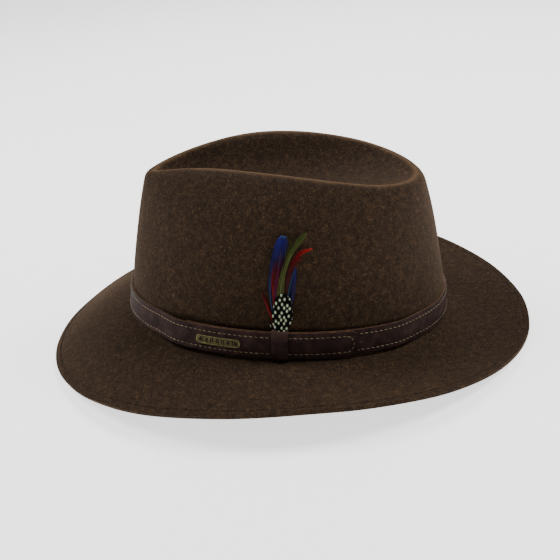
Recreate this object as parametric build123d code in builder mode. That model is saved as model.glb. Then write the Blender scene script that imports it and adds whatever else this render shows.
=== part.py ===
"""Felt fedora with a stitched leather band, a keeper loop, a feather mount and a lined inside.

Everything is worked out in the level frame of the head opening: +X is the wearer's left, +Y the
back, +Z up, and zero height is the mean height of the band's lower stitch row. The hat rests on
the front and the back of its brim, so each finished piece is then pitched about X and lifted onto
the table, where the origin is the middle of the footprint. Millimetres throughout.
"""
import os
from math import cos, degrees, pi, radians, sin, sqrt

from build123d import *

os.makedirs("parts", exist_ok=True)

# ---- driving dimensions -------------------------------------------------------------------
# felt body
half_length = 103.9          # head oval at the band, outside the felt, front to back
half_width = 85.4            # the same, left to right
felt = 2.2                   # felt thickness
crest_front, crest_back = -90.5, 83.5      # ends of the ridge round the dent
crest_half_width = 42.5
crest_taper = 0.46           # the ridge is wide at the back and narrow at the front
crest_height = (93.6, 7.4, 1.4)            # mean, second and third waves of its height
dent_centre = (0.0, -4.0, 74.0)
lip_reach = 8.0              # the ridge is rounded over this distance either side
# brim
brim_front, brim_side, brim_back = 51.9, 60.0, 53.9
brim_edge_height = (-12.76, 15.46, -9.4, -0.5, 1.11)       # waves 0 to 4 of the edge height
brim_dip = 2.5
break_drop = 4.3             # the brim turns out this far below the band line
# how the hat stands on a table
pitch = -5.33                # degrees about X
lift = 23.29
shift = 1.0
# band
band_line = (1.0, -2.6, 0.14)              # waves 1 to 3 of the stitch row's height
row_gap = 10.0               # between the two stitch rows
band_low, band_high = -2.2, 13.0           # strap edges, measured from the lower row
strap = 1.25                 # leather thickness
air = 0.25                   # running clearance
loop_back = 0.5              # keeper leather behind the strap
quills = 1.0                 # thickness of the bound quills, next to the felt
strap_rest = 0.15            # strap off the felt where it lies on one layer
strap_raised = 3 * air + quills + loop_back    # and where the quills and the keeper lie behind it
overlap_start, overlap_end = 63.4, 124.0   # angles of the tip and of the buried end
ramp = 14.0                  # degrees over which the strap settles back onto the felt
thread = 0.25                # thread radius
# keeper
keeper_angle = 89.3
keeper_width = 9.6
keeper_leather = 1.2
# head side
sweat_height = 34.0
sweat_leather = 1.0
satin = 0.4

angle_count = 36
angles = [360 * k / angle_count for k in range(angle_count)]
standing = Location((0, shift, lift), (pitch, 0, 0))


# ---- the shape of the felt ----------------------------------------------------------------
# Angles run from the back (0) over the wearer's left (90) to the front (180).
def waves(angle, *terms):
    return sum(term * cos((k + 1) * radians(angle)) for k, term in enumerate(terms))


def oval(angle, offset, height):
    """A point at this distance outside the head oval."""
    s, c = sin(radians(angle)), cos(radians(angle))
    out = Vector(s / half_width, c / half_length, 0).normalized()
    return Vector(half_width * s, half_length * c, height) + out * offset


def crest(angle):
    """The sharp corner that the ridge is rounded from."""
    s, c = sin(radians(angle)), cos(radians(angle))
    middle, reach = (crest_back + crest_front) / 2, (crest_back - crest_front) / 2
    mean, second, third = crest_height
    side = crest_half_width * abs(s) ** 1.1 * (1 + crest_taper * c)
    height = mean - second * cos(2 * radians(angle)) + third * cos(3 * radians(angle))
    return Vector(side if s > 0 else -side, middle + reach * c, height)


def wall(angle, t):
    """The crown wall, from the brim break (0) to the crest (1)."""
    foot = oval(angle, 0, waves(angle, *band_line) - break_drop)
    top = crest(angle)
    s2 = sin(radians(angle)) ** 2
    inward = s2 * (0.30 * t + 0.70 * t**4.5) + (1 - s2) * (0.4 * t + 0.6 * t**2)
    return Vector(
        foot.X + (top.X - foot.X) * inward,
        foot.Y + (top.Y - foot.Y) * inward,
        foot.Z + (top.Z - foot.Z) * t,
    )


def at_band(angle, offset, up):
    """A point outside the wall (inside, below zero), measured up from the lower stitch row."""
    foot_height = waves(angle, *band_line) - break_drop
    point = wall(angle, (up + break_drop) / (crest(angle).Z - foot_height))
    return point + oval(angle, offset, 0) - oval(angle, 0, 0)


def dent(angle, r):
    """The teardrop dent, from its lowest point (0) to the crest (1)."""
    top, low = crest(angle), Vector(*dent_centre)
    return Vector(
        low.X + (top.X - low.X) * r,
        low.Y + (top.Y - low.Y) * r,
        low.Z + (top.Z - low.Z) * r**2.4,
    )


def brim(angle, u):
    """The brim, from the break (0) to the cut edge (1)."""
    c = cos(radians(angle))
    end = brim_front if c < 0 else brim_back
    width = end * c**2 + brim_side * (1 - c**2)
    start = waves(angle, *band_line) - break_drop
    edge = brim_edge_height[0] + waves(angle, *brim_edge_height[1:])
    height = start + (edge - start) * (0.6 * u + 0.4 * u**2) - brim_dip * sin(pi * u) * (1 + c) / 2
    return oval(angle, width * u, height)


def corner(before, tip, after, steps):
    """Points that round a sharp corner."""
    shares = [k / (steps + 1) for k in range(steps + 2)]
    return [before * (1 - q) ** 2 + tip * (2 * q * (1 - q)) + after * q**2 for q in shares]


def profile(angle):
    """The top face of the felt, from beside the dent's lowest point out to the brim edge."""
    top = crest(angle)
    inner = dent(angle, 1 - lip_reach / (top - Vector(*dent_centre)).length)
    outer = wall(angle, 0.92)
    foot = wall(angle, 0.02)
    points = [dent(angle, r) for r in (0.2, 0.4, 0.6, 0.75)]
    points += corner(inner, top, outer, 3)
    points += [wall(angle, t) for t in (0.84, 0.74, 0.6, 0.42, 0.24, 0.1)]
    points += corner(foot, wall(angle, 0), brim(angle, 0.04), 1)
    return points + [brim(angle, u) for u in (0.2, 0.4, 0.6, 0.8, 1.0)]


def closed_ring(points):
    return Wire([Edge.make_spline(points, periodic=True)])


def ring_of(shape):
    """A closed ring from a function of the angle."""
    return closed_ring([shape(angle) for angle in angles])


def skin_points():
    """Rows of points, one for each ring of the felt's top face."""
    return [list(row) for row in zip(*[profile(angle) for angle in angles])]


def under_points(rows, depth):
    """The rows moved into the felt, square to its face."""
    moved = []
    for i, row in enumerate(rows):
        inner = rows[i - 1] if i else [Vector(*dent_centre)] * angle_count
        outer = rows[min(i + 1, len(rows) - 1)]
        new = []
        for k, point in enumerate(row):
            along = row[(k + 1) % angle_count] - row[k - 1]
            across = outer[k] - inner[k]
            new.append(point + across.cross(along).normalized() * depth)
        moved.append(new)
    return moved


def ring_solid(rings):
    """A closed band whose cross-section has these rings as its corners."""
    return Solid.make_loft([*rings, rings[0]], ruled=True)


def band_section(inner, outer, low, high):
    """A flat band round the wall, between two offsets and two heights."""
    corners = ((outer, low), (outer, high), (inner, high), (inner, low))
    return ring_solid([ring_of(lambda a, p=p: at_band(a, *p)) for p in corners])


def tube_ring(centre, radius):
    """A thin tube round the hat, six-sided in section; centre gives a point and an outward one."""
    rings = []
    for k in range(6):
        turn = radians(60 * k)
        rings.append(ring_of(lambda a, q=turn: centre(a, radius * cos(q), radius * sin(q))))
    return ring_solid(rings)


def section_solid(sections):
    """A solid through flat four-cornered sections."""
    return Solid.make_loft([Wire.make_polygon(s, close=True) for s in sections], ruled=True)


# ---- felt body: crown and brim blocked from one felt cone -----------------------------------
top_rows = skin_points()
low_rows = under_points(top_rows, felt)
with BuildPart() as felt_body:
    low_centre = Vector(*dent_centre) - Vector(0, 0, felt)
    skins = [closed_ring(row) for row in top_rows + low_rows[::-1]]
    shell = Solid.make_loft([Vertex(*dent_centre), *skins, Vertex(*low_centre)], ruled=True)
    with Locations(standing):
        add(shell)
felt_body.part.label = "felt_body"
export_step(felt_body.part, "parts/felt_body.step")

# ---- brim stitch: one row of thread just inside the cut edge ---------------------------------
edge_inset = 0.92            # share of the brim's width at which the row runs
with BuildPart() as brim_edge_thread:
    with Locations(standing):
        add(tube_ring(
            lambda a, out, up: brim(a, edge_inset + out / brim_side) + Vector(0, 0, up + thread + 0.15),
            thread,
        ))
brim_edge_thread.part.label = "brim_edge_thread"
export_step(brim_edge_thread.part, "parts/brim_edge_thread.step")

# ---- sweatband, its reed and tape ------------------------------------------------------------
sweat_face = -felt - 1.3     # outer face of the sweatband
sweat_foot = 0.5             # its lower edge, above the band line
with BuildPart() as sweatband:
    with Locations(standing):
        add(band_section(sweat_face - sweat_leather, sweat_face, sweat_foot, sweat_foot + sweat_height))
sweatband.part.label = "sweatband"
export_step(sweatband.part, "parts/sweatband.step")

reed = 0.9                   # radius
reed_offset = sweat_face - sweat_leather / 2
with BuildPart() as sweatband_reed:
    with Locations(standing):
        add(tube_ring(
            lambda a, out, up: at_band(a, reed_offset + out, sweat_foot - reed - 0.1 + up),
            reed,
        ))
sweatband_reed.part.label = "sweatband_reed"
export_step(sweatband_reed.part, "parts/sweatband_reed.step")

tape = 0.4
with BuildPart() as reed_tape:
    with Locations(standing):
        add(band_section(sweat_face + 0.1, sweat_face + 0.1 + tape, sweat_foot, sweat_foot + 8))
reed_tape.part.label = "reed_tape"
export_step(reed_tape.part, "parts/reed_tape.step")

sweat_row_offset = sweat_face - sweat_leather - thread - 0.15
with BuildPart() as sweatband_thread:
    with Locations(standing):
        add(tube_ring(
            lambda a, out, up: at_band(a, sweat_row_offset + out, sweat_foot + 2.5 + up),
            thread,
        ))
sweatband_thread.part.label = "sweatband_thread"
export_step(sweatband_thread.part, "parts/sweatband_thread.step")

# ---- small bow at the back of the sweatband -------------------------------------------------
bow_up = 8.0
bow_offset = sweat_face - sweat_leather - 0.5
with BuildPart() as sweatband_bow:
    for side in (-1, 1):
        sections = []
        for reach, half in ((1.2, 1.5), (5.0, 3.0), (10.0, 4.2), (12.0, 3.0)):
            turn = side * reach / half_length * 65
            sections.append([
                at_band(turn, bow_offset, bow_up - half),
                at_band(turn, bow_offset, bow_up + half),
                at_band(turn, bow_offset - 1.6, bow_up + half),
                at_band(turn, bow_offset - 1.6, bow_up - half),
            ])
        with Locations(standing):
            add(section_solid(sections))
    knot = [[at_band(t, bow_offset, bow_up - 2), at_band(t, bow_offset, bow_up + 2),
             at_band(t, bow_offset - 2.2, bow_up + 2), at_band(t, bow_offset - 2.2, bow_up - 2)]
            for t in (-1.0, 1.0)]
    with Locations(standing):
        add(section_solid(knot))
sweatband_bow.part.label = "sweatband_bow"
export_step(sweatband_bow.part, "parts/sweatband_bow.step")

# ---- satin lining: a side band, a tip under the crown, and piping between them ------------------
lining_gap = 0.4             # behind the sweatband and off the felt
lining_foot, lining_top = 0.30, 0.72       # shares of the wall's height


lining_ease = 1.5            # the lining leaves the felt a little towards the top


def inside_wall(angle, t, depth):
    """A point inside the felt wall, moved level towards the middle."""
    point = wall(angle, t)
    out = Vector(point.X / half_width**2, point.Y / half_length**2, 0).normalized()
    return point - out * (depth + lining_ease * t**3)


with BuildPart() as lining_side:
    outer, inner = felt + lining_gap, felt + lining_gap + satin
    steps = (lining_foot, 0.4, 0.5, 0.6, lining_top)
    outer_rings = [ring_of(lambda a, t=t: inside_wall(a, t, outer)) for t in steps]
    inner_rings = [ring_of(lambda a, t=t: inside_wall(a, t, inner)) for t in reversed(steps)]
    with Locations(standing):
        add(ring_solid(outer_rings + inner_rings))
lining_side.part.label = "lining_side"
export_step(lining_side.part, "parts/lining_side.step")

piping = 0.7
tip_drop = 4.0               # the tip hangs this far under the felt of the dent
with BuildPart() as lining_piping:
    with Locations(standing):
        add(tube_ring(
            lambda a, out, up: (inside_wall(a, lining_top, inner + piping - out)
                                + Vector(0, 0, piping + 0.3 + up)),
            piping,
        ))
lining_piping.part.label = "lining_piping"
export_step(lining_piping.part, "parts/lining_piping.step")

tip_centre = Vector(*dent_centre) - Vector(0, 0, felt + tip_drop)


def tip_point(angle, r, lower):
    """The lining tip: a shallow dish from its middle (0) to the piping (1)."""
    rim = inside_wall(angle, lining_top, inner + 1.2) + Vector(0, 0, 2 * piping + 1.2 - lower)
    middle = tip_centre - Vector(0, 0, lower)
    return Vector(
        middle.X + (rim.X - middle.X) * r,
        middle.Y + (rim.Y - middle.Y) * r,
        middle.Z + (rim.Z - middle.Z) * r**1.6,
    )


with BuildPart() as lining_tip:
    shares = (0.3, 0.6, 0.85, 1.0)
    upper = [ring_of(lambda a, r=r: tip_point(a, r, 0)) for r in shares]
    lower = [ring_of(lambda a, r=r: tip_point(a, r, satin)) for r in reversed(shares)]
    ends = [Vertex(*tip_centre), Vertex(*(tip_centre - Vector(0, 0, satin)))]
    with Locations(standing):
        add(Solid.make_loft([ends[0], *upper, *lower, ends[1]], ruled=True))
lining_tip.part.label = "lining_tip"
export_step(lining_tip.part, "parts/lining_tip.step")


# ---- hat band: one long strap that laps over its own buried end ---------------------------------
def strap_face(angle):
    """Offset of the strap's outer face; angle runs on past 360 to the buried end."""
    outer_layer = strap_raised + 2 * strap + 0.05
    if angle < overlap_end:
        return outer_layer
    if angle < overlap_end + ramp:
        share = (angle - overlap_end) / ramp
        share = share * share * (3 - 2 * share)
        return outer_layer + (strap_rest + strap - outer_layer) * share
    rise_start = 360 + overlap_start - 2 * ramp
    if angle < rise_start:
        return strap_rest + strap
    share = min((angle - rise_start) / ramp, 1)
    share = share * share * (3 - 2 * share)
    return strap_rest + strap + (strap_raised - strap_rest) * share


def strap_section(angle, low, high):
    face = strap_face(angle)
    return [
        at_band(angle, face, low),
        at_band(angle, face, high),
        at_band(angle, face - strap, high),
        at_band(angle, face - strap, low),
    ]


band_middle = (band_low + band_high) / 2
band_half = (band_high - band_low) / 2
tip_turn = 3.6               # degrees of the rounded tip
with BuildPart() as hat_band:
    sections = []
    for share in (0.03, 0.15, 0.4, 0.7):
        half = band_half * sqrt(1 - (1 - share) ** 2)
        turn = overlap_start + tip_turn * share
        sections.append(strap_section(turn, band_middle - half, band_middle + half))
    turn = overlap_start + tip_turn
    last = 360 + overlap_end - 2
    count = 84
    for k in range(count + 1):
        sections.append(strap_section(turn + (last - turn) * k / count, band_low, band_high))
    with Locations(standing):
        add(section_solid(sections))
hat_band.part.label = "hat_band"
export_step(hat_band.part, "parts/hat_band.step")


def thread_run(up, start, stop, count):
    """A row of thread along the strap's outer face."""
    sections = []
    for k in range(count + 1):
        angle = start + (stop - start) * k / count
        low = strap_face(angle) + 0.08
        sections.append([
            at_band(angle, low, up - thread),
            at_band(angle, low, up + thread),
            at_band(angle, low + 2 * thread, up + thread),
            at_band(angle, low + 2 * thread, up - thread),
        ])
    return section_solid(sections)


mm_to_turn = degrees(1 / half_length)     # degrees of the oval per mm, at the wearer's left
row_start = overlap_start + tip_turn + 1.4
row_stop = 360 + overlap_start - 0.5
with BuildPart() as band_thread_lower:
    with Locations(standing):
        add(thread_run(0, row_start, row_stop, 84))
band_thread_lower.part.label = "band_thread_lower"
export_step(band_thread_lower.part, "parts/band_thread_lower.step")

with BuildPart() as band_thread_upper:
    with Locations(standing):
        add(thread_run(row_gap, row_start, row_stop, 84))
band_thread_upper.part.label = "band_thread_upper"
export_step(band_thread_upper.part, "parts/band_thread_upper.step")

tip_squash = 0.9             # the thread's half round is a little flatter than a circle
with BuildPart() as strap_tip_thread:
    sections = []
    low = strap_face(overlap_start) + 0.08
    for k in range(9):
        swing = -pi / 2 + pi * k / 8
        ring = []
        for radius, depth in ((thread, 0), (thread, 2 * thread), (-thread, 2 * thread), (-thread, 0)):
            radius += row_gap / 2
            angle = row_start - 0.25 - mm_to_turn * tip_squash * radius * cos(swing)
            ring.append(at_band(angle, low + depth, row_gap / 2 + radius * sin(swing)))
        sections.append(ring)
    with Locations(standing):
        add(section_solid(sections))
strap_tip_thread.part.label = "strap_tip_thread"
export_step(strap_tip_thread.part, "parts/strap_tip_thread.step")

# ---- name plate and its two rivets ----------------------------------------------------------
plate_turns = (101.9, 117.2)  # its ends
plate_up = 5.0
plate_height = 5.1
brass = 0.7
rivet_inset = 1.5            # degrees in from each end
rivet_radius = 0.8
plate_face = strap_face(plate_turns[0]) + 0.05
with BuildPart() as name_plate:
    first, last = plate_turns
    sections = []
    for k in range(13):
        turn = first + (last - first) * k / 12
        end_gap = min(turn - first, last - turn) / mm_to_turn
        half = plate_height / 2 * (0.72 if end_gap < 0.3 else 1.0)
        sections.append([
            at_band(turn, plate_face, plate_up - half),
            at_band(turn, plate_face, plate_up + half),
            at_band(turn, plate_face + brass, plate_up + half),
            at_band(turn, plate_face + brass, plate_up - half),
        ])
    with Locations(standing):
        add(section_solid(sections))
name_plate.part.label = "name_plate"
export_step(name_plate.part, "parts/name_plate.step")

with BuildPart() as plate_rivets:
    for turn in (plate_turns[0] + rivet_inset, plate_turns[1] - rivet_inset):
        foot = at_band(turn, plate_face + brass + 0.1, plate_up)
        outward = (at_band(turn, plate_face + 5, plate_up) - foot).normalized()
        with BuildSketch(Plane(foot, z_dir=outward)) as head:
            Circle(rivet_radius)
        with Locations(standing):
            add(Solid.extrude(head.sketch.faces()[0], outward * 0.4))
plate_rivets.part.label = "plate_rivets"
export_step(plate_rivets.part, "parts/plate_rivets.step")

# ---- keeper loop: a leather ring that slides along the lapped strap -----------------------------
keeper_foot, keeper_head = (at_band(keeper_angle, 0, up) for up in (0, band_high))
keeper_out = (keeper_head - keeper_foot).cross(Vector(0, 1, 0)) * -1
keeper_plane = Plane(keeper_foot, x_dir=keeper_out, z_dir=(0, -1, 0))
keeper_low, keeper_high = band_low - air - 0.8, band_high + air + 0.2     # inside of the loop
keeper_back = quills + 2 * air             # its back layer, off the felt
keeper_face = strap_raised + 2 * strap + 0.08 + 2 * thread + air
fold = 0.9                   # leather thickness at the folds
with BuildPart() as keeper_loop:
    with BuildSketch(keeper_plane) as loop:
        with BuildLine():
            Polyline(
                (keeper_back, keeper_low - fold),
                (keeper_face - 0.4, keeper_low - fold),
                (keeper_face + keeper_leather, keeper_low + 1.2),
                (keeper_face + keeper_leather, keeper_high - 0.6),
                (keeper_face - 0.2, keeper_high + fold),
                (keeper_back, keeper_high + fold),
                close=True,
            )
        make_face()
        with BuildLine():
            Polyline(
                (keeper_back + loop_back, keeper_low),
                (keeper_face, keeper_low),
                (keeper_face, keeper_high),
                (keeper_back + loop_back, keeper_high),
                close=True,
            )
        make_face(mode=Mode.SUBTRACT)
    section = loop.sketch.faces()[0]
    with Locations(standing):
        add(Solid.extrude(section.moved(Location((0, -keeper_width / 2, 0))), (0, keeper_width, 0)))
keeper_loop.part.label = "keeper_loop"
export_step(keeper_loop.part, "parts/keeper_loop.step")

# ---- feather mount: the bound quills are tucked behind the strap, the vanes lie up the crown -----
mount_y = at_band(keeper_angle, 0, 0).Y
near_radius = half_length**2 / half_width  # the oval's radius beside the keeper


def beside_wall(y, z, gap):
    """A point in front of the crown's left wall."""
    foot = waves(keeper_angle, *band_line) - break_drop
    t = (z - foot) / (crest(90).Z - foot)
    x = half_width - (half_width - crest(90).X) * (0.30 * t + 0.70 * t**4.5)
    return Vector(x - y**2 / (2 * near_radius) + gap, y, z)


def vane(route, gap, depth=0.4):
    """A flat feather along (y, height, width) stations, its gap to the wall growing with height."""
    sections = []
    for k, (y, z, width) in enumerate(route):
        before, after = route[max(k - 1, 0)], route[min(k + 1, len(route) - 1)]
        along = Vector(after[0] - before[0], after[1] - before[1], 0).normalized()
        dy, dz = along.Y * width / 2, -along.X * width / 2
        sections.append([
            beside_wall(mount_y + y + dy, z + dz, gap),
            beside_wall(mount_y + y - dy, z - dz, gap),
            beside_wall(mount_y + y - dy, z - dz, gap + depth),
            beside_wall(mount_y + y + dy, z + dz, gap + depth),
        ])
    return section_solid(sections)


vanes = {
    "red_hackle_left": (0.9, [(-5.2, 21.5, 1.2), (-6.5, 28.2, 2.2), (-9.3, 35.4, 2.2), (-11.5, 39.4, 1.0)]),
    "blue_side_feather": (1.5, [(3.0, 21, 1.6), (5.2, 36, 4.2), (6.7, 47.9, 4.4), (7.2, 56.5, 1.4)]),
    "blue_feather": (2.1, [(-1.5, 21, 2), (-3.5, 32, 5), (-3.6, 43, 7.6), (-2.2, 53.6, 8.4),
                           (0.5, 63.4, 8), (2.2, 70.4, 3)]),
    "red_hackle_lower": (2.7, [(0.4, 21, 1.4), (3.6, 46, 2.4), (7.2, 56.6, 2.6), (13.0, 59.8, 1.2)]),
    "red_hackle_upper": (3.3, [(0, 21, 1.4), (2.4, 40.5, 2.6), (3.0, 52.8, 3.0), (5.5, 59.2, 3.0),
                               (10.8, 63.4, 2.8), (17.2, 64.6, 1.0)]),
    "olive_feather": (3.9, [(-0.8, 21, 2), (-0.7, 33.4, 5), (-1.0, 42, 5.6), (0.4, 52, 3.8),
                            (3.1, 60.2, 3), (7.0, 66.0, 5), (12.2, 72.6, 2)]),
    "guinea_feather": (4.5, [(0.0, 18.6, 8.6), (0.8, 24, 11.4), (1.0, 30, 12), (1.1, 36, 9.6),
                             (1.1, 41.4, 2.4)]),
}
for name, (gap, route) in vanes.items():
    with BuildPart() as feather:
        with Locations(standing):
            add(vane(route, gap))
    feather.part.label = name
    export_step(feather.part, f"parts/{name}.step")

with BuildPart() as quill_binding:
    with BuildSketch(keeper_plane) as bundle:
        with BuildLine():
            Polyline(
                (air, 1.0),
                (air + quills, 1.0),
                (air + quills, keeper_high + fold + 0.4),
                (air + quills + 2.6, keeper_high + fold + 2.0),
                (air + quills + 1.8, keeper_high + fold + 3.0),
                (air, keeper_high + fold + 1.0),
                close=True,
            )
        make_face()
    section = bundle.sketch.faces()[0]
    with Locations(standing):
        add(Solid.extrude(section.moved(Location((0, -2.2, 0))), (0, 4.4, 0)))
quill_binding.part.label = "quill_binding"
export_step(quill_binding.part, "parts/quill_binding.step")
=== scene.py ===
"""Felt fedora with a stitched leather band, a keeper loop, a small plate and a feather mount."""
import random
from math import cos, pi, radians, sin, sqrt

import bmesh
import bpy
from mathutils import Matrix, Vector, kdtree, noise


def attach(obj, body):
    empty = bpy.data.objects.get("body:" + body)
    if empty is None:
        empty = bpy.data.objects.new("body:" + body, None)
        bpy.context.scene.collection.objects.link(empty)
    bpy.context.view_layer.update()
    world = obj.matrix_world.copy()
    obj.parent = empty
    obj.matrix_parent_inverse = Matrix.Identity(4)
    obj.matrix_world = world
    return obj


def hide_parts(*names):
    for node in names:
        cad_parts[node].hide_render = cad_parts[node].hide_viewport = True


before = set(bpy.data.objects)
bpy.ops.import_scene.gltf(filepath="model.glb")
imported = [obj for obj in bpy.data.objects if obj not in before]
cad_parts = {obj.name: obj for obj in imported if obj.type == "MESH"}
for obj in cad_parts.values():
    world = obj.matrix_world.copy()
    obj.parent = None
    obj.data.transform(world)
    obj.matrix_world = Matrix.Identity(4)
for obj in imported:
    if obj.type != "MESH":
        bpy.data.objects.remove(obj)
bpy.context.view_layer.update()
bpy.ops.object.select_all(action="DESELECT")

# ---- felt body ------------------------------------------------------------------------------
# Crown and brim are one cone of wool and fur felt, steamed and pulled over a block, creased by
# hand with a teardrop dent, then trimmed at the brim. Lengths are millimetres in the level frame
# of the head opening: +X the wearer's left, +Y the back; angles run from the back over the left.
half_length, half_width = 103.9, 85.4
felt_thickness = 2.2
crest_front, crest_back, crest_half_width, crest_taper = -90.5, 83.5, 42.5, 0.46
crest_height = (93.6, 7.4, 1.4)
dent_centre = Vector((0, -4, 74))
wall_share, wall_power = 0.70, 4.5
lip_reach = 8.0                  # how far inside the ridge the dent starts to roll over
brim_front, brim_side, brim_back, brim_dip = 51.9, 60.0, 53.9, 2.5
brim_edge_height = (-12.76, 15.46, -9.4, -0.5, 1.11)
band_line = (1.0, -2.6, 0.14)
break_drop = 4.3
stitch_share = 0.925             # of the brim's width, where the edge stitch runs
stitch_groove, stitch_groove_share = 0.45, 0.016
drift_size, drift_depth = 38, 0.5          # the felt's slow unevenness to the side
swell_size, swell_depth = 45, 0.6          # and upwards
standing = Matrix.Translation((0, 1.0, 23.29)) @ Matrix.Rotation(radians(-5.33), 4, "X")


def waves(angle, terms):
    """A height that repeats once, twice, three times... round the hat."""
    return sum(term * cos((k + 1) * radians(angle)) for k, term in enumerate(terms))


def oval(angle, offset, height):
    """A point on the head oval, moved out by an offset."""
    s, c = sin(radians(angle)), cos(radians(angle))
    out = Vector((s / half_width, c / half_length, 0)).normalized()
    return Vector((half_width * s, half_length * c, height)) + out * offset


def crest(angle):
    """The ridge of the teardrop crown: widest behind the middle, pinched at the front."""
    s, c = sin(radians(angle)), cos(radians(angle))
    middle, reach = (crest_back + crest_front) / 2, (crest_back - crest_front) / 2
    side = crest_half_width * abs(s) ** 1.1 * (1 + crest_taper * c)
    mean, second, third = crest_height
    height = mean - second * cos(2 * radians(angle)) + third * cos(3 * radians(angle))
    return Vector((side if s > 0 else -side, middle + reach * c, height))


def side_pull(t):
    """How far the crown's side has come in, at a share of its height: upright, then rounded."""
    return (1 - wall_share) * t + wall_share * t**wall_power


def wall(angle, t):
    """The crown's outside between the break of the brim and the ridge."""
    foot = oval(angle, 0, waves(angle, band_line) - break_drop)
    top = crest(angle)
    s2 = sin(radians(angle)) ** 2
    inward = s2 * side_pull(t) + (1 - s2) * (0.4 * t + 0.6 * t**2)
    return Vector((foot.x + (top.x - foot.x) * inward, foot.y + (top.y - foot.y) * inward,
                   foot.z + (top.z - foot.z) * t))


def dent(angle, r):
    """The hollow of the crown, from its lowest point (0) out to the ridge (1)."""
    top = crest(angle)
    point = dent_centre.lerp(top, r)
    point.z = dent_centre.z + (top.z - dent_centre.z) * r**2.4
    return point


def brim(angle, u):
    """The brim's top face, from the break (0) to the cut edge (1)."""
    c = cos(radians(angle))
    end = brim_front if c < 0 else brim_back
    width = end * c**2 + brim_side * (1 - c**2)
    start = waves(angle, band_line) - break_drop
    edge = brim_edge_height[0] + waves(angle, brim_edge_height[1:])
    height = start + (edge - start) * (0.6 * u + 0.4 * u**2) - brim_dip * sin(pi * u) * (1 + c) / 2
    return oval(angle, width * u, height)


def corner(before, tip, after, steps):
    """A rounded turn between two lines that meet at the tip."""
    shares = [k / (steps + 1) for k in range(steps + 2)]
    return [before * (1 - q) ** 2 + tip * (2 * q * (1 - q)) + after * q**2 for q in shares]


def steps_between(low, high, count):
    return [low + (high - low) * (k + 0.5) / count for k in range(count)]


def felt_profile(angle):
    """The felt's top face from the dent's lowest point out to the brim's edge."""
    top = crest(angle)
    inner_share = 1 - lip_reach / (top - dent_centre).length
    points = [dent(angle, r * inner_share) for r in (0.0, 0.04, 0.1, 0.17, 0.25, 0.33, 0.42, 0.5, 0.58,
                                                     0.66, 0.74, 0.81, 0.87, 0.93, 0.97)]
    points += corner(dent(angle, inner_share), top, wall(angle, 0.92), 9)
    points += [wall(angle, 0.91 - 0.88 * k / 26) for k in range(27)]
    points += corner(wall(angle, 0.02), wall(angle, 0), brim(angle, 0.04), 4)
    for u in steps_between(0.05, 0.88, 20) + steps_between(0.89, 0.96, 10) + [0.975, 0.99, 1.0]:
        point = brim(angle, u)
        point.z -= stitch_groove * max(0, 1 - abs(u - stitch_share) / stitch_groove_share) ** 0.7
        points.append(point)
    return points


def stand(point):
    """From the level frame in millimetres to the standing hat in metres."""
    return (standing @ Vector(point)) * 0.001


def handled(point, size, depth):
    """The slight unevenness of a felt that was shaped by hand."""
    return noise.noise(Vector(point) / size) * depth


def block_grid(name, columns, rows, place):
    """A flat grid pulled over a shape: place(column share, row number) gives each point."""
    bpy.ops.mesh.primitive_grid_add(x_subdivisions=columns, y_subdivisions=rows, size=1)
    piece = bpy.context.object
    piece.name = piece.data.name = name
    for vertex in piece.data.vertices:
        row, column = divmod(vertex.index, columns + 1)
        vertex.co = stand(place(column / columns, row))
    bpy.ops.object.mode_set(mode="EDIT")
    bpy.ops.mesh.select_all(action="SELECT")
    bpy.ops.mesh.remove_doubles(threshold=0.00002)
    bpy.ops.object.mode_set(mode="OBJECT")
    piece.matrix_world = Matrix()
    return piece


def face_outwards(piece, point, outward):
    """Turns a sheet so that its faces near a point look outwards."""
    near = min(piece.data.polygons, key=lambda face: (face.center - point).length)
    if near.normal.dot(outward) < 0:
        bpy.ops.object.mode_set(mode="EDIT")
        bpy.ops.mesh.select_all(action="SELECT")
        bpy.ops.mesh.flip_normals()
        bpy.ops.object.mode_set(mode="OBJECT")


def apply_modifier(piece, kind, **settings):
    modifier = piece.modifiers.new(kind.title(), kind)
    for name, value in settings.items():
        setattr(modifier, name, value)
    bpy.context.view_layer.objects.active = piece
    bpy.ops.object.modifier_apply(modifier=modifier.name)


def thicken(piece, thickness, offset=-1):
    """Gives a sheet its thickness in millimetres, behind its outer face."""
    apply_modifier(piece, "SOLIDIFY", thickness=thickness / 1000, offset=offset)


def round_edges(piece, width, angle):
    """Rounds the edges that are sharper than the angle, by a width in millimetres."""
    apply_modifier(piece, "BEVEL", width=width / 1000, segments=2, limit_method="ANGLE",
                   angle_limit=radians(angle))


def finish_piece(piece, material, body, slot, *nodes, angle=40):
    """Gives a piece its material, smooth shading, body and the CAD nodes it replaces; its slot is not used.
    """
    piece.data.materials.append(material)
    bpy.ops.object.select_all(action="DESELECT")
    piece.select_set(True)
    bpy.context.view_layer.objects.active = piece
    bpy.ops.object.shade_smooth_by_angle(angle=radians(angle))
    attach(piece, body)
    if nodes:
        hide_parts(*nodes)
    piece.select_set(False)


def linear(code):
    """An sRGB hex colour as linear RGBA."""
    parts = [int(code[k:k + 2], 16) / 255 for k in (1, 3, 5)]
    return (*[p / 12.92 if p <= 0.04045 else ((p + 0.055) / 1.055) ** 2.4 for p in parts], 1)


def start_material(name):
    """A new material and its surface shader."""
    material = bpy.data.materials.new(name)
    material.use_nodes = True
    return material, material.node_tree.nodes["Principled BSDF"]


def add_node(material, kind, inputs, **settings):
    """A node with its settings; an input is a plain value or the socket that feeds it."""
    node = material.node_tree.nodes.new(kind)
    for name, value in settings.items():
        setattr(node, name, value)
    for name, value in inputs.items():
        if isinstance(value, bpy.types.NodeSocket):
            material.node_tree.links.new(value, node.inputs[name])
        else:
            node.inputs[name].default_value = value
    return node


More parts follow.
